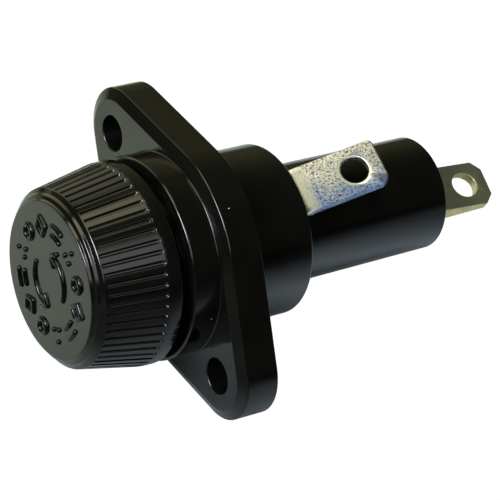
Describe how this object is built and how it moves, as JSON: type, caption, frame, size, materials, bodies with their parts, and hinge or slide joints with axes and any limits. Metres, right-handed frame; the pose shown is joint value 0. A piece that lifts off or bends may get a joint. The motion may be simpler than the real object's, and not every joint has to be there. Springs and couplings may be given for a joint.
{
  "type": "cartridge fuse holder",
  "caption": "Panel-mount cartridge fuse holder: flanged moulded body, screw knob with fuse clip, sprung rear contact, side and end solder terminals, fuse fitted.",
  "frame": {"origin": "centre of the flange's rear face, on the fuse axis, in the plane of the panel's front surface", "axes": "+Z along the fuse axis out through the knob; X through the two screw holes; -Y towards the side terminal"},
  "size_m": [0.0508, 0.0324, 0.0742],
  "materials": {
    "phenolic": "glossy black phenolic moulding",
    "knob_phenolic": "glossy black phenolic, fluted side",
    "sleeve_brass": "plain brass, rolled thread",
    "shell_brass": "plain brass, rolled thread",
    "rivet_brass": "plain brass",
    "contact_brass": "plain brass, turned",
    "bright_tin": "bright zinc plate with a fine mottle",
    "dull_brass": "dulled plated brass with yellow sheared edges",
    "spring_steel": "plain spring wire",
    "clip_steel": "plated spring strip",
    "ferrule_nickel": "nickel plate",
    "fuse_fibre": "wound fibre tube",
    "element_zinc": "plain zinc strip"
  },
  "bodies": {
    "holder": {"body": "phenolic", "thread_sleeve": "sleeve_brass", "side_terminal": "bright_tin", "side_terminal_rivet": "rivet_brass", "end_terminal": "dull_brass", "contact_spring": "spring_steel"},
    "plunger": {"contact_plunger": "contact_brass"},
    "fuse": {"fuse_tube": "fuse_fibre", "fuse_ferrule_rear": "ferrule_nickel", "fuse_ferrule_front": "ferrule_nickel", "fuse_element": "element_zinc"},
    "clip": {"fuse_clip": "clip_steel", "clip_rivet": "rivet_brass"},
    "knob": {"knob": "knob_phenolic", "knob_shell": "shell_brass"}
  },
  "joints": [
    {"name": "plunger_travel", "type": "slide", "parent": "holder", "child": "plunger", "axis": [0, 0, -1], "range_m": [0, 0.003], "stiffness_N_per_m": 1500, "springref_m": -0.003, "deforming": ["contact_spring"]},
    {"name": "fuse_withdraw", "type": "slide", "parent": "holder", "child": "fuse", "axis": [0, 0, 1], "range_m": [0, 0.045]},
    {"name": "cap_pull_off", "type": "slide", "parent": "fuse", "child": "clip", "axis": [0, 0, 1], "range_m": [0, 0.02]},
    {"name": "knob_turn", "type": "hinge", "parent": "clip", "child": "knob", "pos_m": [0, 0, 0.017], "axis": [0, 0, 1], "range_deg": [0, 540]}
  ]
}
